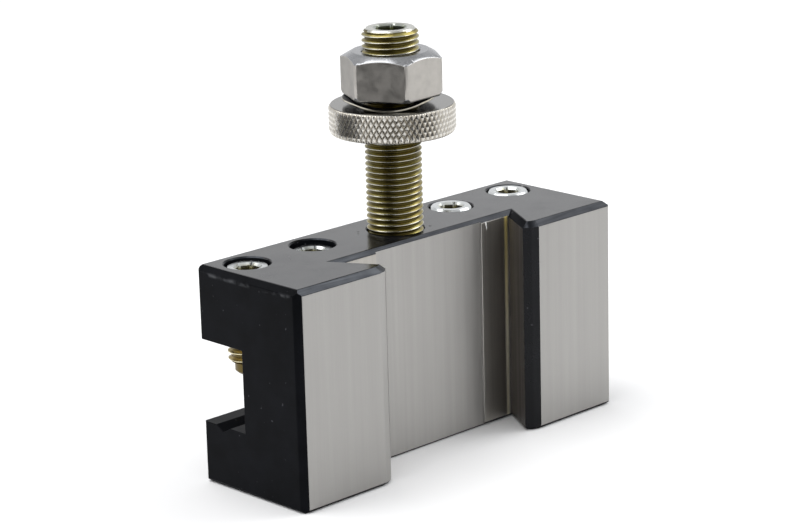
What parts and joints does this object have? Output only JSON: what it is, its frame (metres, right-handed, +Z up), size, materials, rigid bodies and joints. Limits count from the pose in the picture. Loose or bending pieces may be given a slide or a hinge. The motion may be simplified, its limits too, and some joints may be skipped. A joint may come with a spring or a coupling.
{
  "type": "quick change tool holder",
  "caption": "Dovetail tool holder for a lathe's quick change tool post: tool slot with a V-groove, clamp screws above it, and a height stud with knurled nut, curved washer and hex lock nut.",
  "frame": {"origin": "middle of the block's base, in the base plane", "axes": "+X along the tool slot, towards the right end seen from the dovetail; +Y from the dovetail to the open side of the tool slot; +Z up, along the height stud"},
  "size_m": [0.092, 0.0329, 0.0895],
  "materials": {
    "black_oxide_steel": "semi-gloss black oxide, with the front bosses and the dovetail's floor and flanks ground bare",
    "yellow_zinc_steel": "yellow-chromated zinc, darker in the thread roots",
    "nickel_plated_steel": "satin nickel",
    "black_spring_steel": "blackened, worn bright at the rim",
    "bright_zinc_steel": "bright zinc with a faint yellow tint"
  },
  "bodies": {
    "holder": {"holder_body": "black_oxide_steel", "height_stud": "yellow_zinc_steel"},
    "spring_washer": {"wave_washer": "black_spring_steel"},
    "knurled_nut": {"knurled_height_nut": "nickel_plated_steel"},
    "lock_nut": {"hex_lock_nut": "nickel_plated_steel"},
    "screw_1": {"clamp_screw_1": "bright_zinc_steel"},
    "screw_2": {"clamp_screw_2": "bright_zinc_steel"},
    "screw_3": {"clamp_screw_3": "bright_zinc_steel"},
    "screw_4": {"clamp_screw_4": "bright_zinc_steel"}
  },
  "joints": [
    {"name": "washer_lift", "type": "slide", "parent": "holder", "child": "spring_washer", "axis": [0, 0, 1], "range_m": [-0.02, 0.004]},
    {"name": "knurled_nut_spin", "type": "hinge", "parent": "spring_washer", "child": "knurled_nut", "pos_m": [0, 0.00455, 0], "axis": [0, 0, 1], "range_deg": [-5750, 1150]},
    {"name": "lock_nut_spin", "type": "hinge", "parent": "spring_washer", "child": "lock_nut", "pos_m": [0, 0.00455, 0], "axis": [0, 0, 1], "range_deg": [-5760, 1152]},
    {"name": "screw_1_travel", "type": "slide", "parent": "holder", "child": "screw_1", "axis": [0, 0, -1], "range_m": [-0.00725, 0.0044]},
    {"name": "screw_2_travel", "type": "slide", "parent": "holder", "child": "screw_2", "axis": [0, 0, -1], "range_m": [-0.00765, 0.004]},
    {"name": "screw_3_travel", "type": "slide", "parent": "holder", "child": "screw_3", "axis": [0, 0, -1], "range_m": [-0.00635, 0.0053]},
    {"name": "screw_4_travel", "type": "slide", "parent": "holder", "child": "screw_4", "axis": [0, 0, -1], "range_m": [-0.00655, 0.0051]}
  ],
  "couplings": [
    {"joint": "washer_lift", "follows": "knurled_nut_spin", "m_per_rad": 0.00019894},
    {"joint": "lock_nut_spin", "follows": "knurled_nut_spin", "ratio": 1}
  ]
}
